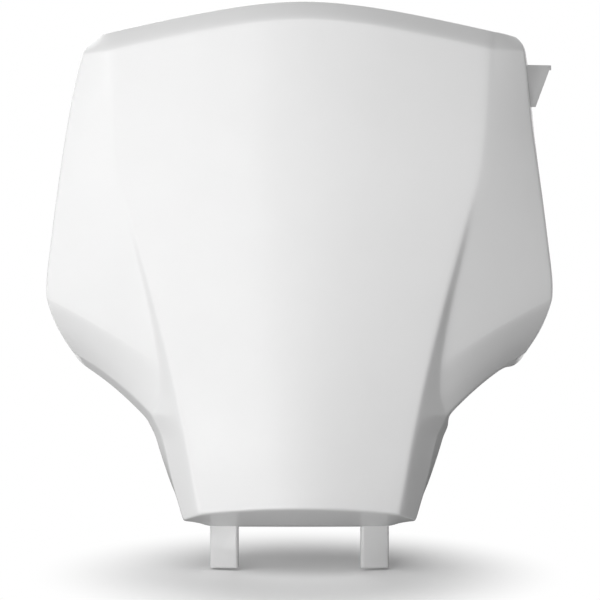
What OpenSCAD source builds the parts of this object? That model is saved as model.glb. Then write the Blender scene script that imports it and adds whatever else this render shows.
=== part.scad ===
// Front number board of an off-road motorbike, moulded in one piece.
// Heights count up from the tips of the lower tabs and depths count back from
// the front of the ridge. The finished board is moved so that its origin lies
// at the middle of the upper fixing hole.

/* [Heights] */
// Length of the lower tabs below the skirt
tab_len = 20; // [12:1:28]
// Height of the skirt that turns back under the chin
skirt_h = 10; // [6:1:14]
// Height of the neck, from the chin up to the wings
neck_h = 46; // [36:1:60]
// Height of the wing's turned-back part beside the panel
under_h = 26; // [18:1:34]
// Height over which the step between panel and wing dies out
step_run = 84; // [60:1:110]
// Height of the panel above the step, up to the rolled lip
upper_h = 86; // [60:1:110]
// Height of the rolled lip along the top
lip_h = 10; // [6:1:14]
// How far the outer top corners lie below the peak
corner_drop = 19; // [14:1:26]
// How far the fold climbs towards the outer edge
fold_rise = 32; // [20:1:40]
// Height of the wing's lower corner above the neck
tip_rise = 30; // [22:1:36]

/* [Half widths] */
// Panel edge at the top
crest_top = 93; // [84:1:100]
// Panel edge where the step begins
crest_mid = 86; // [78:1:92]
// Panel edge at the chin
crest_chin = 50; // [42:1:56]
// Outer top corner
corner_half = 103.5; // [99:0.5:106]
// Outer edge at its widest place
wing_half = 126.5; // [120:0.5:134]
// Lower corner of the wing
tip_half = 112.5; // [106:0.5:118]
// Extra width of the top corner that carries the hose guide
guide_swell = 4.6; // [0:0.1:8]
// Sideways place of the peak
peak_x = 2; // [-4:0.5:4]

/* [Depths] */
// How far the top of the ridge leans back
lean = 11; // [4:1:18]
// How far the lip rolls back
lip_d = 12; // [8:1:16]
// How far the chin flares forward
flare = 3; // [0:0.5:6]
// Angle of the panel's flanks, seen from above
flank_angle = 15; // [8:1:20]
// Roundness of the ridge at the chin
ridge_r = 20; // [10:1:30]
// Roundness of the ridge under the lip
ridge_top_r = 75; // [30:1:90]
// Outer edge at the top corner
corner_d = 39; // [36:1:46]
// Outer edge at its widest place
wide_d = 49; // [46:1:54]
// Outer edge at the wing's lower corner
tip_d = 64; // [58:1:70]
// Step between panel and wing at the fold
step_fold = 11; // [7:1:14]
// Side wall where the neck begins
step_neck = 23; // [19:1:28]
// Side wall at the chin
step_chin = 14; // [10:1:18]
// Rear edge of the skirt
skirt_d = 24; // [20:1:30]

/* [Wall and flange] */
// Wall of the moulding
wall = 2.5; // [1.8:0.1:3.2]
// Depth of the flange that turns back round the outer edge
flange_d = 14; // [8:1:18]
// Depth of the flange behind the rolled lip
top_flange_d = 5; // [3:0.5:8]
// Depth of the flange left in the hose scallop
scallop_d = 4; // [3:0.5:7]
// Outward draft of the flange at the sides
draft_side = 0.6; // [0.4:0.1:1.6]
// Outward draft of the flange under the wings
draft_under = 4; // [2:0.5:6]
// Rounding of the outer edge
edge_r = 1.5; // [1:0.1:2]

/* [Upper fixing] */
// Clearance hole for the fixing bolt
bolt_d = 6.6; // [5.2:0.1:8.4]
// Height of the fixing hole above the tab tips
bolt_z = 180; // [160:1:200]
// Distance of the fixing hole behind the ridge
bolt_y = 36; // [30:1:44]
// Width of the tongue
tongue_w = 26; // [20:1:34]
// Thickness of the tongue
tongue_t = 4; // [3:0.5:5]
// Width of the raised seat round the hole
seat_w = 18; // [12:0.5:22]
// Height of the raised seat
seat_h = 1; // [0.6:0.1:1.5]
// Thickness of the gussets under the tongue
gusset_t = 2.5; // [2:0.1:3.5]
// Height of the gussets at the wall
gusset_h = 24; // [14:1:34]

/* [Lower tabs] */
// Width of a tab
tab_w = 14.5; // [11:0.5:18]
// Thickness of a tab
tab_t = 3.5; // [3.5:0.1:4.5]
// Distance between the middles of the tabs
tab_pitch = 75; // [60:1:84]
// Rounding of the tabs' long edges
tab_r = 1.5; // [0.6:0.1:1.7]
// Length of the rib on the skirt before a tab
tab_rib = 12; // [8:1:16]

/* [Hose guide] */
// Reach of the guide past the wing
guide_reach = 13.5; // [8:0.5:16]
// Height of the guide
guide_h = 21; // [16:1:26]
// Height of the guide's top edge below the peak
guide_drop = 31; // [28:1:36]
// Reach of the guide's lower end past the wing
guide_foot = 3.6; // [3:0.1:6]
// Thickness of the guide
guide_t = 2.4; // [1.8:0.1:3]
// Depth of the guide's turned-back edge
guide_d = 8; // [6:1:11]
// Depth of the guide's face behind the outer edge
guide_set = 3; // [2:0.5:5]
// How far the guide's face runs back for each mm outwards
guide_sweep = 1.1; // [0:0.1:1.4]

/* [Hidden] */

// Heights of the main levels
skirt_z = tab_len;
chin_z = skirt_z + skirt_h;
neck_z = chin_z + neck_h;
fold_z = neck_z + under_h;
step_z = fold_z + step_run;
lip_z = step_z + upper_h;
peak_z = lip_z + lip_h;
corner_z = peak_z - corner_drop;
fold_out_z = fold_z + fold_rise;
tip_z = neck_z + tip_rise;
guide_top = peak_z - guide_drop;
guide_low = guide_top - guide_h;

// Finer points of the form: bow of the chin, roundness of the lip's crease, of
// the panel's edge and of the fold, share of the lip's roll at the outer edge
chin_bow = 3;
chin_fall = 0.25;
lip_bend = 0.15;
crest_r = 1;
fold_r = 2;
corner_roll = 0.8;
// Bulge of the wings, in depth for each mm across and in height at three rows
wing_bulge = 0.12;
bow_top = 0.2;
bow_fold = 1.4;
bow_neck = 3;
// Arch of the top edge
arch_r = 45;
arch_slope = 0.245;
// How deep the inner pieces are rooted in the wall, and where they stand
root_d = 0.6 * wall;
gusset_x = 0.32 * tongue_w;
gusset_reach = 0.75 * tongue_w;
guide_root = 0.4;
guide_hem = 0.6 * guide_d;

// Smooth curve through a few chosen points, each a place and a value
function knot(p, t, k = 0) = k >= len(p) - 2 || t < p[k + 1][0] ? k : knot(p, t, k + 1);
function rate(p, a, b) = (p[b][1] - p[a][1]) / (p[b][0] - p[a][0]);
function grade(p, k) = rate(p, max(k - 1, 0), min(k + 1, len(p) - 1));
function blend(u, a, b, ga, gb) =
    a * (1 + 2 * u) * pow(1 - u, 2) + b * u * u * (3 - 2 * u)
    + ga * u * pow(1 - u, 2) - gb * u * u * (1 - u);
function flow(p, t) =
    let (k = knot(p, t), h = p[k + 1][0] - p[k][0], u = (t - p[k][0]) / h)
    blend(u, p[k][1], p[k + 1][1], grade(p, k) * h, grade(p, k + 1) * h);
function mix(a, b, u) = a + (b - a) * u;
function part_of(t, a, b) = min(1, max(0, (t - a) / (b - a)));
function ease(u) = u * u * (3 - 2 * u);
// Rounded rise to both sides of a middle line
function arch(x, r, s) = s * (sqrt(x * x + r * r) - r);

// Driving curves over the height
ridge_line = [[chin_z, -flare], [chin_z + 8, -0.3 * flare], [chin_z + 20, 0], [fold_z, 0],
    [step_z - 20, 0.12 * lean], [step_z + upper_h / 2, 0.45 * lean], [lip_z, lean]];
crest_line = [[chin_z, crest_chin], [fold_z, mix(crest_chin, crest_mid, 0.42)],
    [step_z, crest_mid], [mix(step_z, lip_z, 0.3), mix(crest_mid, crest_top, 0.45)],
    [peak_z, crest_top]];
step_w_line = [[chin_z, 7.7], [chin_z + 14, 9.4], [neck_z - 15, 10.5], [neck_z - 7, 11.3],
    [neck_z, 13.6], [neck_z + 7, 9.8], [neck_z + 14, 7.2], [fold_z, 5], [fold_z + 30, 3],
    [step_z - 20, 2.6], [step_z, 3], [peak_z, 4]];
step_d_line = [[chin_z, step_chin], [chin_z + 14, step_chin + 3.5], [neck_z - 15, step_neck - 3],
    [neck_z - 7, step_neck - 1.5], [neck_z, step_neck], [neck_z + 7, mix(step_neck, step_fold, 0.48)],
    [neck_z + 14, mix(step_neck, step_fold, 0.75)], [fold_z, step_fold], [fold_z + 30, 0.62 * step_fold],
    [step_z - 26, 0.34 * step_fold], [step_z, 1.4], [peak_z, 1.6]];
outer_line = [[tip_z, tip_half], [tip_z + 12, tip_half + 7.5], [tip_z + 24, wing_half - 1.5],
    [tip_z + 33, wing_half], [tip_z + 52, wing_half - 2], [tip_z + 90, wing_half - 7],
    [corner_z - 30, corner_half + 10], [corner_z - 8, corner_half + 4.6], [corner_z, corner_half]];
outer_d_line = [[tip_z, tip_d], [fold_out_z - 2, mix(wide_d, tip_d, 0.07)], [fold_out_z + 2, wide_d],
    [fold_out_z + 34, mix(wide_d, corner_d, 0.55)], [corner_z - 60, corner_d],
    [corner_z - 28, corner_d - 0.5], [corner_z, corner_d]];

// Rows of the grid: height at the ridge, roll of the lip and share of the arch
function span(a, b, n) = [for (k = [0 : n - 1]) mix(a, b, k / n)];
lip_rows = [for (u = [1, 0.75, 0.5, 0.28, 0.12]) [lip_z + lip_h * u,
    lip_d * arch(u, lip_bend, 1) / arch(1, lip_bend, 1)]];
body_levels = concat(span(lip_z, step_z, 8), span(step_z, fold_z + fold_r, 9),
    [fold_z + fold_r, fold_z], span(fold_z - fold_r, neck_z, 6));
wing_rows = concat(lip_rows, [for (z = body_levels) [z, 0]], [[neck_z, 0]]);
neck_rows = [for (z = concat(span(neck_z - 3.5, chin_z + 9, 7), [chin_z + 9, chin_z + 5, chin_z]))
    [z, 0]];
rows = concat(wing_rows, neck_rows);
last_wing = len(wing_rows) - 1;
last_row = len(rows) - 1;

// Columns of the grid: shares of the panel, the four of the step, shares of the wing
panel_shares = [0, 0.08, 0.17, 0.27, 0.39, 0.52, 0.66, 0.8, 0.92];
wing_shares = [0.1, 0.26, 0.42, 0.58, 0.73, 0.79, 0.9, 1];
crest_col = len(panel_shares);
foot_col = crest_col + 3;
edge_col = foot_col + len(wing_shares);

function sink(z) = part_of(z, step_z, lip_z);
function dip(z) = part_of(z, chin_z + 30, chin_z);
// Height of a row at a place across the panel
function row_z(i, x) =
    let (z = rows[i][0])
    z - arch(x - peak_x, arch_r, arch_slope) * sink(z)
        - (chin_bow * pow(x / crest_chin, 2) + chin_fall * max(0, abs(x) - crest_chin)) * dip(z);
// Depth of the panel behind its ridge: rounder above, its edge always at the angle of the flanks
function flanks(x, z) =
    let (r = mix(ridge_r, ridge_top_r, part_of(z, chin_z, lip_z)), c = flow(crest_line, z))
    arch(x, r, tan(flank_angle) * norm([c, r]) / c);
function panel_d(i, x) = flow(ridge_line, min(rows[i][0], lip_z)) + rows[i][1] + flanks(x, rows[i][0]);
function outer_z(i) =
    let (z = rows[i][0])
    z > fold_z ? mix(fold_out_z, corner_z, (z - fold_z) / (peak_z - fold_z))
        : mix(tip_z, fold_out_z, (z - neck_z) / (fold_z - neck_z));
function swell(z) = guide_swell * pow(part_of(z, corner_z - 45, corner_z), 1.3);
function bow(i, f) =
    let (z = rows[i][0])
    4 * f * (1 - f) * (z > fold_z ? mix(bow_fold, bow_top, part_of(z, fold_z, lip_z))
        : mix(bow_neck, bow_fold, (z - neck_z) / under_h));

// Corners of the step in plan: panel edge and wing root
function crest_pt(i) = let (x = flow(crest_line, rows[i][0])) [x, panel_d(i, x)];
function foot_pt(i) = crest_pt(i) + [flow(step_w_line, rows[i][0]), flow(step_d_line, rows[i][0])];
function outer_pt(i, side) =
    let (z = outer_z(i))
    [flow(outer_line, z) + (side > 0 ? swell(z) : 0), flow(outer_d_line, z) + corner_roll * rows[i][1]];
function unit(v) = v / norm(v);
function step_pt(i, c) =
    let (a = crest_pt(i), b = foot_pt(i), d = b - a, r = min(crest_r, 0.3 * norm(d)),
        flank = unit([1, tan(flank_angle)]), out = unit(outer_pt(i, -1) - b))
    c == 0 ? a - flank * r : c == 1 ? a + unit(d) * r : c == 2 ? b - unit(d) * r
        : b + out * r * part_of(rows[i][0], neck_z, fold_z);

// Point of the outer skin at row i and signed column s
function skin(i, s) =
    let (c = abs(s), side = s < 0 ? -1 : 1)
    c < crest_col ? panel_pt(i, side * panel_shares[c] * (crest_pt(i)[0] - crest_r))
        : c <= foot_col ? plan_pt(i, step_pt(i, c - crest_col), side)
        : wing_pt(i, wing_shares[c - foot_col - 1], side);
function panel_pt(i, x) = [x, panel_d(i, x), row_z(i, x)];
function plan_pt(i, p, side) = [side * p[0], p[1], row_z(i, side * p[0])];
function wing_pt(i, f, side) =
    let (a = step_pt(i, 3), b = outer_pt(i, side), lift = side > 0 ? 0.3 * swell(outer_z(i)) : 0)
    [side * mix(a[0], b[0], f), mix(a[1], b[1], f) - wing_bulge * (b[0] - a[0]) * f * (1 - f),
        mix(row_z(i, side * a[0]), outer_z(i) + lift, f) + bow(i, f)];

// Rim of the outer skin, clockwise from the left top corner as seen from the front
rim = concat(
    [for (s = [-edge_col : edge_col]) [0, s]],
    [for (i = [1 : last_wing]) [i, edge_col]],
    [for (s = [edge_col - 1 : -1 : foot_col]) [last_wing, s]],
    [for (i = [last_wing + 1 : last_row]) [i, foot_col]],
    [for (s = [foot_col - 1 : -1 : -foot_col]) [last_row, s]],
    [for (i = [last_row - 1 : -1 : last_wing]) [i, -foot_col]],
    [for (s = [-foot_col - 1 : -1 : -edge_col]) [last_wing, s]],
    [for (i = [last_wing - 1 : -1 : 1]) [i, -edge_col]]);
rim_n = len(rim);
function at_rim(k) = rim[(k + rim_n) % rim_n];
function edge_pt(k) = skin(at_rim(k)[0], at_rim(k)[1]);

// Depth and outward draft of the flange at a point of the rim
function is_under(p) = p[0] == last_wing && abs(p[1]) < edge_col;
function is_cut(p) = is_under(p) && p[1] >= foot_col && p[1] < edge_col - 2;
function guide_draft(p, z) = p[1] < 0 ? 0 : 0.2 * guide_swell * ease(part_of(z, guide_low - 40, guide_low));
function flange_at(p, e) =
    p[0] == 0 ? let (u = ease(part_of(abs(e[0]), crest_top, corner_half)))
        [draft_side * u, mix(top_flange_d, flange_d - corner_roll * lip_d, u)]
    : p[0] == last_row ? [e[2] - skirt_edge(e[0]), skirt_back(e[0]) - e[1]]
    : is_cut(p) ? [draft_under * 0.35, scallop_d]
    : is_under(p) ? [mix(draft_side, draft_under, part_of(tip_half - abs(e[0]), -2, 6)), flange_d]
    : p[0] > last_wing ? [draft_under * pow(part_of(e[2], chin_z + 4, neck_z - 16), 0.8), flange_d]
    : [draft_side + guide_draft(p, e[2]), flange_d - corner_roll * rows[p[0]][1]];
function skirt_edge(x) = skirt_z + 3 * ease(part_of(abs(x), crest_chin - 7, crest_chin + 8));
function skirt_back(x) = skirt_d + flanks(x, chin_z);

// Flange as rings behind the rim, ring 0 being the rim itself
rings = 3;
function flat(v) = [v[0], 0, v[2]];
function flange_pt(k, l) =
    let (e = edge_pt(k), t = unit(flat(edge_pt(k + 1) - e)) + unit(flat(e - edge_pt(k - 1))),
        n = unit([-t[2], 0, t[0]]),
        f = flange_at(at_rim(k), e), tip = e + n * f[0] + [0, f[1], 0],
        bend = e + n * min(edge_r, 0.5 * edge_r + 0.3 * f[0]) * 0.5 + [0, 0.8 * edge_r, 0])
    l == 0 ? e : l == 1 ? bend : mix(bend, tip, (l - 1) / (rings - 1));

// Place of a rim point in the rim list
function rim_index(i, s) =
    let (side = 2 * edge_col + last_wing, neck = side + edge_col - foot_col,
        chin = neck + last_row - last_wing, back = chin + 2 * foot_col)
    i == 0 ? s + edge_col
    : s == edge_col ? 2 * edge_col + i
    : i == last_wing && s >= foot_col ? side + edge_col - s
    : s == foot_col ? neck + i - last_wing
    : i == last_row ? chin + foot_col - s
    : s == -foot_col && i >= last_wing ? back + last_row - i
    : i == last_wing ? back + last_row - last_wing - foot_col - s
    : back + last_row - foot_col + edge_col - i;

// Outer skin worked out once, and its normals from the neighbouring points
function half_row(i) = i <= last_wing ? edge_col : foot_col;
grid = [for (i = [0 : last_row]) [for (s = [-half_row(i) : half_row(i)]) skin(i, s)]];
flange = [for (l = [0 : rings]) [for (k = [0 : rim_n - 1]) flange_pt(k, l)]];
function at_grid(i, s) = grid[i][s + half_row(i)];
function at_flange(k, l) = flange[min(max(l, 0), rings)][(k + rim_n) % rim_n];
function has(i, s) = i >= 0 && i <= last_row && abs(s) <= half_row(i);
function near(i, s, di, ds) = has(i + di, s + ds) ? at_grid(i + di, s + ds) : at_flange(rim_index(i, s), 1);
function grid_normal(i, s) =
    unit(cross(near(i, s, 0, -1) - near(i, s, 0, 1), near(i, s, -1, 0) - near(i, s, 1, 0)));
function flange_normal(k, l) =
    unit(cross(at_flange(k, l + 1) - at_flange(k, l - 1), at_flange(k + 1, l) - at_flange(k - 1, l)));

// Points of both skins: grid rows first, then the flange rings. The inner skin
// is offset further at a sharp edge, so that the wall keeps its thickness there.
outer_points = concat([for (row = grid) each row], [for (l = [1 : rings]) each flange[l]]);
function mitre(a, b) = min(1.5, 2 / norm(unit(a) - unit(b)));
function chin_gain(s) =
    let (e = at_grid(last_row, s))
    mitre(at_grid(last_row - 1, s) - e, at_flange(rim_index(last_row, s), 2) - e);
function turn_gain(k, l) = let (e = at_flange(k, l)) mitre(at_flange(k + 1, l) - e, at_flange(k - 1, l) - e);
function inner_grid(i, s) = at_grid(i, s) + wall * (i == last_row ? chin_gain(s) : 1) * grid_normal(i, s);
function inner_flange(k, l) =
    l == 1 ? mix(inner_grid(rim[k][0], rim[k][1]), inner_flange(k, 2), 0.35)
    : at_flange(k, l) + wall * turn_gain(k, l) * flange_normal(k, l);
inner_points = concat(
    [for (i = [0 : last_row]) for (s = [-half_row(i) : half_row(i)]) inner_grid(i, s)],
    [for (l = [1 : rings]) for (k = [0 : rim_n - 1]) inner_flange(k, l)]);
skin_n = len(outer_points);
wing_row_n = 2 * edge_col + 1;
neck_row_n = 2 * foot_col + 1;
grid_n = (last_wing + 1) * wing_row_n + (last_row - last_wing) * neck_row_n;
function grid_id(i, s) =
    i <= last_wing ? i * wing_row_n + s + edge_col
    : (last_wing + 1) * wing_row_n + (i - last_wing - 1) * neck_row_n + s + foot_col;
function ring_id(k, l) =
    let (p = at_rim(k))
    l == 0 ? grid_id(p[0], p[1]) : grid_n + (l - 1) * rim_n + (k + rim_n) % rim_n;

// Triangles of the outer skin, of the inner skin turned over, and of the rear rim
function two(a, b, c, d) = [[a, b, c], [a, c, d]];
function turned(t) = [t[2] + skin_n, t[1] + skin_n, t[0] + skin_n];
outer_faces = concat(
    [for (i = [0 : last_row - 1]) let (h = i < last_wing ? edge_col : foot_col) for (s = [-h : h - 1])
        each two(grid_id(i, s), grid_id(i, s + 1), grid_id(i + 1, s + 1), grid_id(i + 1, s))],
    [for (l = [0 : rings - 1]) for (k = [0 : rim_n - 1])
        each two(ring_id(k, l + 1), ring_id(k + 1, l + 1), ring_id(k + 1, l), ring_id(k, l))]);
end_faces = [for (k = [0 : rim_n - 1]) let (a = ring_id(k, rings), b = ring_id(k + 1, rings))
    each two(a + skin_n, b + skin_n, b, a)];

module shell() {
    polyhedron(concat(outer_points, inner_points),
        concat(outer_faces, [for (t = outer_faces) turned(t)], end_faces), convexity = 8);
}

// Depth of the middle of the wall behind the plain part of the panel
function wall_mid(x, z) = flow(ridge_line, z) + flanks(x, z) + root_d;
hole_d = wall_mid(0, bolt_z) + bolt_y;

// Tongue with the fixing hole, standing back from the panel
module tongue() {
    half = tongue_w / 2;
    difference() {
        translate([0, 0, bolt_z - tongue_t / 2]) union() {
            linear_extrude(tongue_t)
                polygon(concat([for (u = [-1 : 0.25 : 1]) [u * half, wall_mid(u * half, bolt_z)]],
                    [[half, hole_d], [-half, hole_d]]));
            translate([0, hole_d, 0]) cylinder(r = half, h = tongue_t, $fn = 64);
            translate([0, hole_d, 0]) cylinder(d = seat_w, h = tongue_t + seat_h, $fn = 64);
        }
        translate([0, hole_d, bolt_z - tongue_t]) cylinder(d = bolt_d, h = 2 * tongue_t + seat_h, $fn = 48);
    }
}

// Triangular gusset under the tongue
module gusset(x) {
    steps = 4;
    translate([x - gusset_t / 2, 0, 0]) rotate([90, 0, 90]) linear_extrude(gusset_t)
        polygon(concat([for (k = [0 : steps]) let (z = bolt_z - gusset_h * k / steps) [wall_mid(x, z), z]],
            [[hole_d - gusset_reach, bolt_z]]));
}

// Lower tab with round long edges, rooted in the rear edge of the skirt and
// turned with the panel's flank
module tab(side) {
    x = side * tab_pitch / 2;
    in_w = tab_w / 2 - tab_r;
    in_t = tab_t / 2 - tab_r;
    fall = skirt_h / skirt_d;
    translate([x, skirt_back(x), 0]) rotate([0, 0, side * flank_angle]) {
        translate([0, tab_t / 2 - root_d, 0]) linear_extrude(skirt_z + 2 * wall) union() {
            square([tab_w, 2 * in_t], center = true);
            square([2 * in_w, tab_t], center = true);
            for (u = [-1, 1]) for (v = [-1, 1]) translate([u * in_w, v * in_t]) circle(r = tab_r, $fn = 32);
        }
        translate([-gusset_t / 2, 0, 0]) rotate([90, 0, 90]) linear_extrude(gusset_t)
            polygon([[-tab_rib, skirt_z + tab_rib * fall + wall / 2], [0, skirt_z + wall / 2],
                [0, skirt_z + 2 * wall]]);
    }
}

// Triangular hose guide on the upper right flange, its free edges turned back
function side_x(z) = flow(outer_line, z) + swell(z) - guide_root;
module guide() {
    front = flow(outer_d_line, guide_top) + guide_set;
    top_out = [side_x(guide_top) + guide_reach, guide_top];
    low_out = [side_x(guide_low) + guide_foot, guide_low];
    low_in = [side_x(guide_low), guide_low];
    top_in = [side_x(guide_top), guide_top];
    across = [guide_t / unit(top_out - low_out)[1], 0];
    multmatrix([[1, 0, 0, 0], [guide_sweep, 1, 0, -guide_sweep * low_in[0]], [0, 0, 1, 0]]) {
        plate([low_in, low_out, top_out, top_in], front, guide_t);
        plate([low_out, top_out, top_out - across, low_out - across], front, guide_d);
        plate([top_in, top_in - [0, guide_t], top_out - [0, guide_t], top_out], front, guide_hem);
    }
}
module plate(outline, front, depth) {
    translate([0, front + depth, 0]) rotate([90, 0, 0]) linear_extrude(depth) polygon(outline);
}

module number_board() {
    color("white") translate([0, -hole_d, -bolt_z]) union() {
        shell();
        tongue();
        for (side = [-1, 1]) gusset(side * gusset_x);
        for (side = [-1, 1]) tab(side);
        guide();
    }
}

number_board();
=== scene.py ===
"""Front number board of an off-road motorbike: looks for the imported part."""
import math

import bpy
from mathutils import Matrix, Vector, kdtree


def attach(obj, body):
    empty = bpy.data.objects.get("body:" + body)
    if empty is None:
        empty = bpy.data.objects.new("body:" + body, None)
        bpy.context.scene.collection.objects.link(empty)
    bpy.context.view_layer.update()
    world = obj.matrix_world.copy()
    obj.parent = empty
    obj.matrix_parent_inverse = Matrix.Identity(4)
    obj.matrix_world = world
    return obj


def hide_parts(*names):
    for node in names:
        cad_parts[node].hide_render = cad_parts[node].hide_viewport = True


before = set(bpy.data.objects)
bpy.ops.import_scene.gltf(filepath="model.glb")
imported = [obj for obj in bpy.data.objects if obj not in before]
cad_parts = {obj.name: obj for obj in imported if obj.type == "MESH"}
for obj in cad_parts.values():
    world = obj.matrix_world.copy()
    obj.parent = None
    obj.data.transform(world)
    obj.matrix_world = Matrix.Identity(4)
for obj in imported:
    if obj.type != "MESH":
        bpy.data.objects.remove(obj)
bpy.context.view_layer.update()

# The board itself: one shell of white polypropylene, injection moulded, with a
# ridged panel, a rolled lip, wings stepped back from the panel, a narrow neck
# and a flange that turns back round the edge to stiffen it.

# Heights above the tab tips, half widths and depths behind the ridge, in mm
SKIRT_Z, CHIN_Z, NECK_Z, FOLD_Z, STEP_Z, LIP_Z, PEAK_Z = 20, 30, 76, 102, 186, 272, 282
CORNER_Z, FOLD_OUT_Z, TIP_Z = 263, 134, 107.5
# The right side swells towards the hose guide: how far, over which height
GUIDE_SWELL, SWELL_RUN, SWELL_POWER, SWELL_LIFT = 4.6, 45, 1.3, 0.3
CORNER_FULL, FULL_LOW, FULL_HIGH = 2, 18, 1
CREST_TOP, CREST_MID, CREST_CHIN = 93, 86, 50
CORNER_HALF, WING_HALF, TIP_HALF, PEAK_X = 103.5, 126.5, 113.3, 2
LEAN, LIP_DEPTH, FLARE, CORNER_D, WIDE_D, TIP_D = 11, 12, 3, 39, 49, 61.5
STEP_FOLD, STEP_NECK, STEP_CHIN, SKIRT_D = 11, 23, 14, 24
FLANK = math.tan(math.radians(15))
RIDGE_R, RIDGE_TOP_R, CREST_R, ARCH_R, ARCH_SLOPE = 20, 75, 1, 45, 0.245
WING_BULGE, LIP_BEND = 0.12, 0.3
BULGE_NECK, BULGE_FOLD, BULGE_TOP = 3, 1.4, 0.2
BOW_TOP, CHIN_BOW, CHIN_DROP = 60, 3, 0.25
WALL, FLANGE_D, TOP_FLANGE_D, SCALLOP_D, EDGE_R = 2.5, 14, 5, 4, 1.5
DRAFT_SIDE, DRAFT_UNDER, DRAFT_SCALLOP, DRAFT_GUIDE = 0.6, 4, 1.4, 0.2 * GUIDE_SWELL
CORNER_ROLL = 0.8
SKIRT_RISE = 3
GUIDE_TOP, GUIDE_LOW = 251, 230
BOLT_Z, BOLT_Y = 180, 36


def mix(a, b, u):
    return a + (b - a) * u


def part_of(t, a, b):
    return min(1, max(0, (t - a) / (b - a)))


def ease(u):
    return u * u * (3 - 2 * u)


def arch(x, r, s):
    return s * (math.hypot(x, r) - r)


def flow(points, t):
    """Smooth curve through a few chosen places and values."""
    last = len(points) - 1
    k = 0
    while k < last - 1 and t >= points[k + 1][0]:
        k += 1

    def slope(a):
        lo, hi = points[max(a - 1, 0)], points[min(a + 1, last)]
        return (hi[1] - lo[1]) / (hi[0] - lo[0])

    h = points[k + 1][0] - points[k][0]
    u = (t - points[k][0]) / h
    a, b = points[k][1], points[k + 1][1]
    return (a * (1 + 2 * u) * (1 - u) ** 2 + b * u * u * (3 - 2 * u)
            + slope(k) * h * u * (1 - u) ** 2 - slope(k + 1) * h * u * u * (1 - u))


RIDGE = [(CHIN_Z, -FLARE), (38, -0.3 * FLARE), (50, 0), (FOLD_Z, 0), (166, 0.12 * LEAN),
         (229, 0.45 * LEAN), (LIP_Z, LEAN)]
CREST = [(CHIN_Z, CREST_CHIN), (FOLD_Z, 65.12), (STEP_Z, CREST_MID), (211.8, 89.15), (PEAK_Z, CREST_TOP)]
STEP_WIDTH = [(30, 7.7), (44, 9.4), (61, 10.5), (69, 11.3), (76, 13.6), (83, 9.8), (90, 7.2), (102, 5),
              (132, 3), (166, 2.6), (186, 3), (282, 4)]
STEP_DEPTH = [(30, STEP_CHIN), (44, STEP_CHIN + 3.5), (61, STEP_NECK - 3), (69, STEP_NECK - 1.5),
              (76, STEP_NECK), (83, mix(STEP_NECK, STEP_FOLD, 0.4)), (90, mix(STEP_NECK, STEP_FOLD, 0.66)),
              (102, STEP_FOLD), (132, 0.62 * STEP_FOLD), (160, 0.34 * STEP_FOLD), (186, 1.4), (282, 1.6)]
OUTER = [(TIP_Z, TIP_HALF), (118, 120), (130, WING_HALF - 1.5), (139, WING_HALF), (158, WING_HALF - 2),
         (196, WING_HALF - 7), (233, CORNER_HALF + 10), (255, CORNER_HALF + 4.9),
         (260, CORNER_HALF + 3), (CORNER_Z, CORNER_HALF + 0.2)]
OUTER_DEPTH = [(TIP_Z, TIP_D), (132, mix(WIDE_D, TIP_D, 0.07)), (136, WIDE_D),
               (168, mix(WIDE_D, CORNER_D, 0.55)), (203, CORNER_D), (235, CORNER_D - 0.5),
               (CORNER_Z, CORNER_D)]


def span(a, b, n):
    """The first n of n + 1 even steps from a to b."""
    return [mix(a, b, k / n) for k in range(n)]


# Rows from the lip down to the chin: height at the ridge and roll of the lip
ROWS = [(mix(LIP_Z, PEAK_Z, u), LIP_DEPTH * arch(u, LIP_BEND, 1) / arch(1, LIP_BEND, 1))
        for u in (1, 0.75, 0.5, 0.28, 0.12)]
ROWS += [(z, 0) for z in span(LIP_Z, STEP_Z, 8) + span(STEP_Z, 104, 9) + [104]]
FOLD_ROW = len(ROWS)
ROWS += [(z, 0) for z in [FOLD_Z] + span(100, NECK_Z, 6) + [77.5, NECK_Z]]
LAST_WING = len(ROWS) - 1
ROWS += [(z, 0) for z in span(72.5, 39, 7) + [39, 35, CHIN_Z]]
LAST = len(ROWS) - 1
# Columns outwards from the ridge: panel, the four of the step, wing below and above
PANEL_SHARES = (0, 0.08, 0.17, 0.27, 0.39, 0.52, 0.66, 0.8, 0.92)
WING_SHARES = (0.1, 0.26, 0.42, 0.58, 0.73, 0.79, 0.9, 0.97, 1)
TOP_SHARES = (0.1, 0.24, 0.38, 0.52, 0.64, 0.74, 0.83, 0.91, 1)
CREST_COL = len(PANEL_SHARES)
FOOT_COL = CREST_COL + 3
EDGE_COL = FOOT_COL + len(WING_SHARES)


def row_z(i, x):
    """Height of a row, arched at the top and bowed at the chin."""
    z = ROWS[i][0]
    bowed = CHIN_BOW * (x / CREST_CHIN) ** 2 + CHIN_DROP * max(0, abs(x) - CREST_CHIN)
    arched = arch(x - PEAK_X, ARCH_R, ARCH_SLOPE)
    return z - arched * part_of(z, STEP_Z, LIP_Z) - bowed * part_of(z, BOW_TOP, CHIN_Z)


def flanks(x, z):
    """Depth of the panel behind its ridge: rounder above, its edge always at the angle of the flanks."""
    r, c = mix(RIDGE_R, RIDGE_TOP_R, part_of(z, CHIN_Z, LIP_Z)), flow(CREST, z)
    return arch(x, r, FLANK * math.hypot(c, r) / c)


def panel_d(i, x):
    """Depth of the panel's face at row i."""
    return flow(RIDGE, min(ROWS[i][0], LIP_Z)) + ROWS[i][1] + flanks(x, ROWS[i][0])


def outer_z(i):
    """Height at which row i meets the outer edge of the wing."""
    z = ROWS[i][0]
    if z > FOLD_Z:
        return mix(FOLD_OUT_Z, CORNER_Z, (z - FOLD_Z) / (PEAK_Z - FOLD_Z))
    return mix(TIP_Z, FOLD_OUT_Z, (z - NECK_Z) / (FOLD_Z - NECK_Z))


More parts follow.
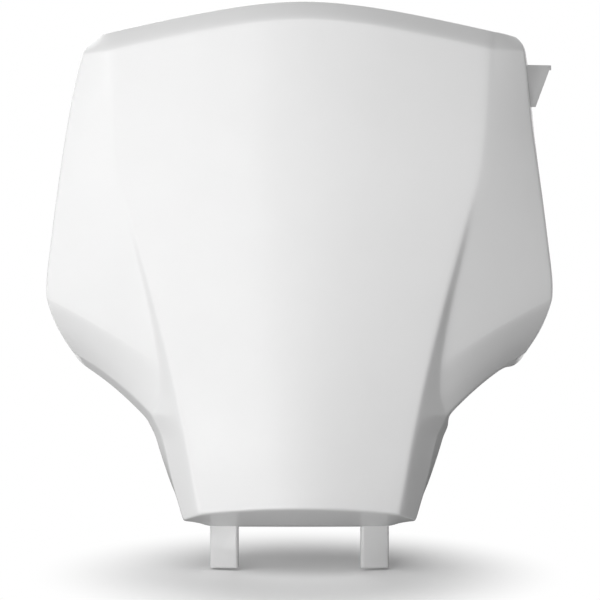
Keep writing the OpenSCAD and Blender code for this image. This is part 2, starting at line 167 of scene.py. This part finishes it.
def swell(z):
    """How much further out the right edge lies than the left one, fuller round the top corner."""
    full = part_of(z, CORNER_Z - FULL_LOW, CORNER_Z + FULL_HIGH)
    swollen = part_of(z, CORNER_Z - SWELL_RUN, CORNER_Z) ** SWELL_POWER
    return GUIDE_SWELL * swollen + CORNER_FULL * full * (1 - full)


def outer_point(i, side):
    """Half width and depth of the outer edge at row i, side 1 for the right."""
    z = outer_z(i)
    out = flow(OUTER, z) + (swell(z) if side > 0 else 0)
    return Vector((out, flow(OUTER_DEPTH, z) + CORNER_ROLL * ROWS[i][1]))


def step_point(i, c):
    """Plan place of one of the step's four columns, from the panel's edge to the root of the wing."""
    x = flow(CREST, ROWS[i][0])
    crest = Vector((x, panel_d(i, x)))
    foot = crest + Vector((flow(STEP_WIDTH, ROWS[i][0]), flow(STEP_DEPTH, ROWS[i][0])))
    drop = foot - crest
    r = min(CREST_R, 0.3 * drop.length)
    if c == 0:
        return crest - Vector((1, FLANK)).normalized() * r
    if c == 3:
        out = (outer_point(i, -1) - foot).normalized()
        return foot + out * r * part_of(ROWS[i][0], NECK_Z, FOLD_Z)
    return crest + drop.normalized() * r if c == 1 else foot - drop.normalized() * r


def skin(i, s):
    """Point of the outer face at row i and column s, in mm."""
    c, side = abs(s), -1 if s < 0 else 1
    if c < CREST_COL:
        x = side * PANEL_SHARES[c] * (flow(CREST, ROWS[i][0]) - CREST_R)
        return Vector((x, panel_d(i, x), row_z(i, x)))
    if c <= FOOT_COL:
        p = step_point(i, c - CREST_COL)
        return Vector((side * p.x, p.y, row_z(i, side * p.x)))
    n = c - FOOT_COL - 1
    f = mix(WING_SHARES[n], TOP_SHARES[n], part_of(ROWS[i][0], FOLD_Z, STEP_Z))
    a, b, z = step_point(i, 3), outer_point(i, side), ROWS[i][0]
    lift = SWELL_LIFT * swell(outer_z(i)) if side > 0 else 0
    if z > FOLD_Z:
        rise = mix(BULGE_FOLD, BULGE_TOP, part_of(z, FOLD_Z, LIP_Z))
    else:
        rise = mix(BULGE_NECK, BULGE_FOLD, (z - NECK_Z) / (FOLD_Z - NECK_Z))
    return Vector((side * mix(a.x, b.x, f), mix(a.y, b.y, f) - WING_BULGE * (b.x - a.x) * f * (1 - f),
                   mix(row_z(i, side * a.x), outer_z(i) + lift, f) + rise * 4 * f * (1 - f)))


# Rim of the outer face as rows and columns, clockwise from the left top corner
RIM = [(0, s) for s in range(-EDGE_COL, EDGE_COL + 1)]
RIM += [(i, EDGE_COL) for i in range(1, LAST_WING + 1)]
RIM += [(LAST_WING, s) for s in range(EDGE_COL - 1, FOOT_COL - 1, -1)]
RIM += [(i, FOOT_COL) for i in range(LAST_WING + 1, LAST + 1)]
RIM += [(LAST, s) for s in range(FOOT_COL - 1, -FOOT_COL - 1, -1)]
RIM += [(i, -FOOT_COL) for i in range(LAST - 1, LAST_WING - 1, -1)]
RIM += [(LAST_WING, s) for s in range(-FOOT_COL - 1, -EDGE_COL - 1, -1)]
RIM += [(i, -EDGE_COL) for i in range(LAST_WING - 1, 0, -1)]
EDGE = [skin(i, s) for i, s in RIM]


def flange_at(place, e):
    """Outward draft and depth of the flange at one place of the rim."""
    i, s = place
    if i == 0:
        u = ease(part_of(abs(e.x), CREST_TOP, CORNER_HALF))
        return DRAFT_SIDE * u, mix(TOP_FLANGE_D, FLANGE_D - CORNER_ROLL * LIP_DEPTH, u)
    if i == LAST:
        low = SKIRT_Z + SKIRT_RISE * ease(part_of(abs(e.x), CREST_CHIN - 7, CREST_CHIN + 8))
        return e.z - low, SKIRT_D + flanks(e.x, CHIN_Z) - e.y
    if i == LAST_WING and abs(s) < EDGE_COL:
        if FOOT_COL <= s < EDGE_COL - 3:
            return DRAFT_SCALLOP, SCALLOP_D
        return mix(DRAFT_SIDE, DRAFT_UNDER, part_of(TIP_HALF - abs(e.x), 0, 5)), FLANGE_D
    if i > LAST_WING:
        return DRAFT_UNDER * part_of(e.z, CHIN_Z + 4, NECK_Z - 16) ** 0.8, FLANGE_D
    guide = DRAFT_GUIDE * ease(part_of(e.z, GUIDE_LOW - 40, GUIDE_LOW)) if s > 0 else 0
    return DRAFT_SIDE + guide * part_of(CORNER_Z - e.z, -1, 12), FLANGE_D - CORNER_ROLL * ROWS[i][1]


RINGS = (1, 2, 3)


def flange_point(k, ring):
    """Point of the flange behind place k of the rim: ring 1 is its bend, ring 3 its rear edge."""
    e, before, after = EDGE[k], EDGE[k - 1], EDGE[(k + 1) % len(EDGE)]
    ahead, back = after - e, e - before
    t = Vector((ahead.x, ahead.z)).normalized() + Vector((back.x, back.z)).normalized()
    n = Vector((-t.y, 0, t.x)).normalized()
    draft, depth = flange_at(RIM[k], e)
    bend = e + n * min(EDGE_R, 0.5 * EDGE_R + 0.3 * draft) * 0.5 + Vector((0, 0.8 * EDGE_R, 0))
    return bend.lerp(e + n * draft + Vector((0, depth, 0)), (ring - 1) / 2)


MID_WALL = 0.6 * WALL
HOLE_D = flow(RIDGE, BOLT_Z) + MID_WALL + BOLT_Y


def placed(p):
    """From board millimetres to the part's own frame in metres, origin in the fixing hole."""
    return Vector((p[0], p[1] - HOLE_D, p[2] - BOLT_Z)) / 1000


def only(obj):
    """Leave edit mode and make obj the one selected and active object."""
    if bpy.context.object and bpy.context.object.mode != "OBJECT":
        bpy.ops.object.mode_set(mode="OBJECT")
    bpy.ops.object.select_all(action="DESELECT")
    obj.select_set(True)
    bpy.context.view_layer.objects.active = obj


def modify(obj, kind, **settings):
    """Add one modifier and apply it."""
    only(obj)
    modifier = obj.modifiers.new(kind.lower(), kind)
    for key, value in settings.items():
        setattr(modifier, key, value)
    bpy.ops.object.modifier_apply(modifier=modifier.name)


bpy.ops.object.select_all(action="DESELECT")
bpy.ops.mesh.primitive_grid_add(x_subdivisions=2 * EDGE_COL, y_subdivisions=LAST, size=2)
board = bpy.context.object
board.name = "board_moulding"
for v in board.data.vertices:
    s, i = round(v.co.x * EDGE_COL), round((1 - v.co.y) / 2 * LAST)
    v.select = i > LAST_WING and abs(s) > FOOT_COL
    v.co = placed(skin(min(i, LAST), s)) if not v.select else Vector((s, i, 0))
for part in (*board.data.edges, *board.data.polygons):
    part.select = False
across = 2 * EDGE_COL + 1
creases = board.data.attributes.new("crease_edge", "FLOAT", "EDGE")
for e in board.data.edges:
    if all(LAST - k // across == FOLD_ROW and abs(k % across - EDGE_COL) >= FOOT_COL for k in e.vertices):
        creases.data[e.index].value = 0.5
bpy.ops.object.mode_set(mode="EDIT")
bpy.ops.mesh.select_mode(type="VERT")
bpy.ops.mesh.delete(type="VERT")
ring_now = [placed(e) for e in EDGE]
for ring in RINGS:
    bpy.ops.mesh.select_all(action="DESELECT")
    bpy.ops.mesh.select_non_manifold()
    bpy.ops.mesh.extrude_edges_move()
    bpy.ops.object.mode_set(mode="OBJECT")
    tree = kdtree.KDTree(len(ring_now))
    for k, p in enumerate(ring_now):
        tree.insert(p, k)
    tree.balance()
    for v in board.data.vertices:
        if v.select:
            v.co = placed(flange_point(tree.find(v.co)[1], ring))
    ring_now = [placed(flange_point(k, ring)) for k in range(len(EDGE))]
    bpy.ops.object.mode_set(mode="EDIT")
bpy.ops.mesh.select_all(action="SELECT")
bpy.ops.mesh.normals_make_consistent(inside=False)
bpy.ops.object.mode_set(mode="OBJECT")
corners = [k for k, (i, s) in enumerate(RIM) if i == LAST_WING and abs(s) == EDGE_COL]
corner_line = [placed(EDGE[k]) for k in corners]
corner_line += [placed(flange_point(k, ring)) for k in corners for ring in RINGS]
on_line = [any((v.co - p).length < 1e-6 for p in corner_line) for v in board.data.vertices]
creases = board.data.attributes["crease_edge"]
for e in board.data.edges:
    if all(on_line[k] for k in e.vertices):
        creases.data[e.index].value = 0.8
front = min(board.data.polygons, key=lambda p: p.center.y)
if front.normal.y > 0:
    board.data.flip_normals()
modify(board, "SOLIDIFY", thickness=WALL / 1000, offset=-1, use_even_offset=True, use_quality_normals=True,
       use_rim=True, edge_crease_inner=0.35, edge_crease_outer=0.35)
modify(board, "SUBSURF", levels=2, render_levels=2)


# Tongue behind the upper half, moulded with the board: it takes the bolt that
# ties the board to the upper fork clamp. Two gussets carry it from below.
def wall_mid(x, z):
    """Depth of the middle of the panel's wall."""
    return flow(RIDGE, z) + flanks(x, z) + MID_WALL


def slab(name, outline, thick, place):
    """Flat piece: a ring shaped to an outline, extruded by its thickness, then carried to its place."""
    bpy.ops.object.select_all(action="DESELECT")
    bpy.ops.mesh.primitive_circle_add(vertices=len(outline), radius=1, fill_type="NGON")
    piece = bpy.context.object
    piece.name = name
    for v, (a, b) in zip(piece.data.vertices, outline):
        v.co = (a, b, 0)
    bpy.ops.object.mode_set(mode="EDIT")
    bpy.ops.mesh.select_all(action="SELECT")
    bpy.ops.mesh.extrude_region_move(TRANSFORM_OT_translate={"value": (0, 0, thick)})
    bpy.ops.object.mode_set(mode="OBJECT")
    for v in piece.data.vertices:
        v.co = placed(place(*v.co))
    only(piece)
    bpy.ops.object.mode_set(mode="EDIT")
    bpy.ops.mesh.select_all(action="SELECT")
    bpy.ops.mesh.normals_make_consistent(inside=False)
    bpy.ops.object.mode_set(mode="OBJECT")
    return piece


def joined(pieces, name, radius):
    """One closed piece out of several that overlap, with its sharp edges rounded."""
    first = pieces[0]
    for other in pieces[1:]:
        modify(first, "BOOLEAN", operation="UNION", solver="EXACT", object=other)
        bpy.data.objects.remove(other)
    modify(first, "BEVEL", width=radius / 1000, segments=2, limit_method="ANGLE",
           angle_limit=math.radians(50))
    first.name = name
    return first


TONGUE_HALF, TONGUE_T, BOLT_R, SEAT_R, SEAT_H = 13, 4, 3.3, 9, 1
GUSSET_T, GUSSET_H, GUSSET_X, GUSSET_TIP = 2.5, 24, 8.32, 19.5


def round_end(radius, turn, steps):
    """Points round the hole's middle, over part of a turn."""
    around = [turn * k / steps for k in range(steps + 1)]
    return [(radius * math.cos(a), HOLE_D + radius * math.sin(a)) for a in around]


outline = round_end(TONGUE_HALF, math.pi, 32)
outline += [(x, wall_mid(x, BOLT_Z)) for x in [TONGUE_HALF * k / 4 for k in range(-4, 5)]]
tongue = [slab("tongue", outline, TONGUE_T, lambda a, b, c: (a, b, BOLT_Z - TONGUE_T / 2 + c))]
for x in (-GUSSET_X, GUSSET_X):
    edge = [(wall_mid(x, z), z) for z in [BOLT_Z - GUSSET_H * k / 4 for k in range(5)]]
    edge.append((HOLE_D - GUSSET_TIP, BOLT_Z))
    tongue.append(slab("gusset", edge, GUSSET_T, lambda a, b, c, x=x: (x - GUSSET_T / 2 + c, a, b)))
seat = round_end(SEAT_R, 2 * math.pi, 48)[:-1]
tongue.append(slab("seat", seat, SEAT_H + 1, lambda a, b, c: (a, b, BOLT_Z + TONGUE_T / 2 - 1 + c)))
tongue = joined(tongue, "tongue", 0.35)
bpy.ops.object.select_all(action="DESELECT")
bpy.ops.mesh.primitive_cylinder_add(vertices=64, radius=BOLT_R / 1000, depth=0.02)
bolt_way = bpy.context.object
modify(tongue, "BOOLEAN", operation="DIFFERENCE", solver="EXACT", object=bolt_way)
bpy.data.objects.remove(bolt_way)

# Lower tabs, moulded on the rear edge of the skirt: they drop into slots of the
# lower fork clamp. Their long edges are round so that they slide in.
TAB_W, TAB_T, TAB_X, TAB_R, TAB_TURN = 14.5, 3.5, 37.5, 1.5, math.radians(15)
RIB_REACH, RIB_LOW, RIB_TOP, RIB_TIP = 12, 21.25, 25, 26.25


def tab(side):
    """One tab with the rib that ties it to the skirt, turned like the panel's flank."""
    x = side * TAB_X
    turned = side * TAB_TURN
    back = SKIRT_D + flanks(x, CHIN_Z)

    def turn_in(a, b, z):
        return (x + a * math.cos(turned) - b * math.sin(turned),
                back + a * math.sin(turned) + b * math.cos(turned), z)

    corners = []
    for u, v, start in ((1, 1, 0), (-1, 1, 90), (-1, -1, 180), (1, -1, 270)):
        for k in range(7):
            a = math.radians(start + 15 * k)
            corners.append((u * (TAB_W / 2 - TAB_R) + TAB_R * math.cos(a),
                            v * (TAB_T / 2 - TAB_R) + TAB_R * math.sin(a) + TAB_T / 2 - MID_WALL))
    blade = slab("tab", corners, SKIRT_Z + 2 * WALL, turn_in)
    rib = slab("rib", [(-RIB_REACH, RIB_TIP), (0, RIB_LOW), (0, RIB_TOP)], GUSSET_T,
               lambda a, b, c: turn_in(c - GUSSET_T / 2, a, b))
    return joined([blade, rib], "tab", 0.3)


tabs = [tab(-1), tab(1)]

# Hose guide on the upper right flange, moulded with the board: a small triangular
# wing, swept back, with turned-back edges that keeps the brake hose behind it.
GUIDE_T, GUIDE_D, GUIDE_REACH, GUIDE_FOOT = 2.4, 8, 13.5, 3.6
GUIDE_SET, GUIDE_SINK, GUIDE_SWEEP = 3, 0.4, 1.1
guide_front = flow(OUTER_DEPTH, GUIDE_TOP) + GUIDE_SET


def side_x(z):
    """Where the guide starts, a little inside the right edge."""
    return flow(OUTER, z) + swell(z) - GUIDE_SINK


def strip(outline, depth):
    return slab("strip", outline, depth, lambda a, b, c: (a, guide_front + c, b))


low_in, low_out = (side_x(GUIDE_LOW), GUIDE_LOW), (side_x(GUIDE_LOW) + GUIDE_FOOT, GUIDE_LOW)
top_in, top_out = (side_x(GUIDE_TOP), GUIDE_TOP), (side_x(GUIDE_TOP) + GUIDE_REACH, GUIDE_TOP)
slant = math.hypot(top_out[0] - low_out[0], GUIDE_TOP - GUIDE_LOW)
width = GUIDE_T * slant / (GUIDE_TOP - GUIDE_LOW)
guide = joined([
    strip([low_in, low_out, top_out, top_in], GUIDE_T),
    strip([low_out, top_out, (top_out[0] - width, GUIDE_TOP), (low_out[0] - width, GUIDE_LOW)], GUIDE_D),
    strip([top_in, (top_in[0], GUIDE_TOP - GUIDE_T), (top_out[0], GUIDE_TOP - GUIDE_T), top_out],
          0.6 * GUIDE_D),
], "guide", 0.35)
for v in guide.data.vertices:
    v.co.y += GUIDE_SWEEP * (v.co.x - side_x(GUIDE_LOW) / 1000)

# All of it leaves the tool as one moulding of one plastic, so the pieces are
# made one closed mesh, smooth but for its sharp edges.
only(guide)
for piece in (tongue, *tabs):
    piece.select_set(True)
bpy.ops.object.join()
modify(board, "BOOLEAN", operation="UNION", solver="EXACT", object=guide)
bpy.data.objects.remove(guide)
only(board)
bpy.ops.object.shade_smooth_by_angle(angle=math.radians(38))


def linear(code):
    """Turn an sRGB hex colour into the linear values that a shader takes."""
    parts = [int(code[k:k + 2], 16) / 255 for k in (0, 2, 4)]
    return (*[c / 12.92 if c <= 0.04045 else ((c + 0.055) / 1.055) ** 2.4 for c in parts], 1)


def add_node(tree, kind, links=(), **settings):
    """Add one shader node with its settings and its incoming links."""
    node = tree.nodes.new(kind)
    for key, value in settings.items():
        if key in node.inputs:
            node.inputs[key].default_value = value
        else:
            setattr(node, key, value)
    for key, source in links:
        tree.links.new(source, node.inputs[key])
    return node


# Moulded polypropylene, white, from a polished tool: a soft gloss with a faint
# waviness where the wall sank while it cooled, and a very fine skin on it.
plastic = bpy.data.materials.new("moulded_white_polypropylene")
plastic.use_nodes = True
tree = plastic.node_tree
tree.nodes.clear()
place = add_node(tree, "ShaderNodeTexCoord").outputs["Object"]
cloud = add_node(tree, "ShaderNodeTexNoise", [("Vector", place)], Scale=28, Detail=2)
tint = add_node(tree, "ShaderNodeMix", [("Factor", cloud.outputs["Fac"])], data_type="RGBA")
tint.inputs["A"].default_value = linear("eeeeee")
tint.inputs["B"].default_value = linear("f2f2f2")
skin_grain = add_node(tree, "ShaderNodeTexNoise", [("Vector", place)], Scale=1400, Detail=3)
gloss = add_node(tree, "ShaderNodeMapRange", [("Value", skin_grain.outputs["Fac"])],
                 **{"To Min": 0.13, "To Max": 0.18})
sink = add_node(tree, "ShaderNodeTexNoise", [("Vector", place)], Scale=55, Detail=1)
wave = add_node(tree, "ShaderNodeBump", [("Height", sink.outputs["Fac"])], Strength=0.25, Distance=0.0002)
fine = add_node(tree, "ShaderNodeBump", [
    ("Height", skin_grain.outputs["Fac"]), ("Normal", wave.outputs["Normal"])],
    Strength=0.12, Distance=0.00003)
shader = add_node(tree, "ShaderNodeBsdfPrincipled", [
    ("Base Color", tint.outputs["Result"]), ("Roughness", gloss.outputs["Result"]),
    ("Normal", fine.outputs["Normal"])], **{"IOR": 1.49, "Specular IOR Level": 0.25})
add_node(tree, "ShaderNodeOutputMaterial", [("Surface", shader.outputs["BSDF"])])
board.data.materials.clear()
board.data.materials.append(plastic)
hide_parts("number_board")
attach(board, "root")

# Studio: a sheet of matt white paper just under the tab tips, tilted to the front,
# which fades into a white surround, and large soft lamps, the strongest at the left
# and above, which lay the soft shadow, with weaker ones below and behind.
PAPER_TILT, PAPER_Z, FADE_FROM, FADE_TO = math.radians(12), -0.1835, 0.05, 0.135
bpy.ops.object.select_all(action="DESELECT")
bpy.ops.mesh.primitive_circle_add(vertices=96, radius=0.3, fill_type="NGON", location=(0, -0.02, PAPER_Z),
                                  rotation=(PAPER_TILT, 0, 0))
table = bpy.context.object
table.name = "table"
paper = bpy.data.materials.new("matt_white_paper")
paper.use_nodes = True
tree = paper.node_tree
tree.nodes.clear()
place = add_node(tree, "ShaderNodeTexCoord").outputs["Object"]
oval = add_node(tree, "ShaderNodeVectorMath", [(0, place)], operation="MULTIPLY")
oval.inputs[1].default_value = (1, 1.3, 1)
reach = add_node(tree, "ShaderNodeVectorMath", [(0, oval.outputs["Vector"])], operation="LENGTH")
fade = add_node(tree, "ShaderNodeMapRange", [("Value", reach.outputs["Value"])],
                interpolation_type="SMOOTHSTEP", **{"From Min": FADE_FROM, "From Max": FADE_TO})
seen = add_node(tree, "ShaderNodeLightPath").outputs["Is Camera Ray"]
under = add_node(tree, "ShaderNodeNewGeometry").outputs["Backfacing"]
edge, below = [add_node(tree, "ShaderNodeMath", [(0, source), (1, seen)], operation="MULTIPLY").outputs[0]
               for source in (fade.outputs["Result"], under)]
sheet = add_node(tree, "ShaderNodeMix", [("Factor", seen)], data_type="RGBA")
sheet.inputs["A"].default_value = linear("b8b8b8")
sheet.inputs["B"].default_value = linear("ffffff")
matt = add_node(tree, "ShaderNodeBsdfDiffuse", [("Color", sheet.outputs["Result"])]).outputs["BSDF"]
glow = add_node(tree, "ShaderNodeEmission", Color=linear("ffffff"), Strength=1).outputs["Emission"]
clear = add_node(tree, "ShaderNodeBsdfTransparent").outputs["BSDF"]
blend = add_node(tree, "ShaderNodeMixShader", [("Fac", edge), (1, matt), (2, glow)]).outputs["Shader"]
shown = add_node(tree, "ShaderNodeMixShader", [("Fac", below), (1, blend), (2, clear)]).outputs["Shader"]
add_node(tree, "ShaderNodeOutputMaterial", [("Surface", shown)])
table.data.materials.append(paper)

world = bpy.context.scene.world or bpy.data.worlds.new("surround")
bpy.context.scene.world = world
world.use_nodes = True
tree = world.node_tree
tree.nodes.clear()
path = add_node(tree, "ShaderNodeLightPath").outputs
seen = path["Is Camera Ray"]
for ray in ("Is Transmission Ray", "Is Glossy Ray"):
    seen = add_node(tree, "ShaderNodeMath", [(0, seen), (1, path[ray])], operation="MAXIMUM").outputs[0]
soft = add_node(tree, "ShaderNodeBackground", Color=linear("ffffff"), Strength=0.15).outputs["Background"]
white = add_node(tree, "ShaderNodeBackground", Color=linear("ffffff"), Strength=1).outputs["Background"]
mixed = add_node(tree, "ShaderNodeMixShader", [("Fac", seen), (1, soft), (2, white)])
add_node(tree, "ShaderNodeOutputWorld", [("Surface", mixed.outputs["Shader"])])


MIDDLE = Vector((0, -0.01, -0.04))


def lamp(name, azimuth, elevation, distance, width, height, power):
    """Area light aimed at the board's middle, placed by azimuth from the front and elevation."""
    a, e = math.radians(azimuth), math.radians(elevation)
    away = Vector((math.sin(a) * math.cos(e), -math.cos(a) * math.cos(e), math.sin(e)))
    bpy.ops.object.light_add(type="AREA", location=MIDDLE + away * distance)
    light = bpy.context.object
    light.name = name
    light.rotation_euler = away.to_track_quat("Z", "Y").to_euler()
    light.data.shape = "RECTANGLE"
    light.data.size, light.data.size_y, light.data.energy = width, height, power


lamp("key", -25, 5, 2.4, 1.2, 2.0, 10)
lamp("side", -80, 5, 2.4, 1.6, 2.0, 12.4)
lamp("high_left", -60, 30, 2.4, 1.4, 1.4, 11.2)
lamp("high_front", 0, 50, 2.4, 2.0, 1.2, 11.4)
lamp("low_front", 0, -30, 2.4, 2.0, 1.0, 9)
lamp("low_near", -14, -16, 1.3, 0.9, 0.4, 5.2)
lamp("behind", -165, 25, 2.4, 1.6, 1.6, 10)

# Camera: straight on and far back, as in a catalogue picture, 300 mm wide at the
# board's outline.
FAR, PICTURE, SENSOR = 6.0, 0.3, 36
bpy.ops.object.camera_add(location=(0.00025, 0.005 - FAR, -0.0465), rotation=(math.pi / 2, 0, 0))
camera = bpy.context.object
camera.data.sensor_width = SENSOR
camera.data.lens = SENSOR * FAR / PICTURE
camera.data.clip_start, camera.data.clip_end = 0.1, 30
bpy.context.scene.camera = camera
bpy.context.scene.view_settings.view_transform = "Standard"
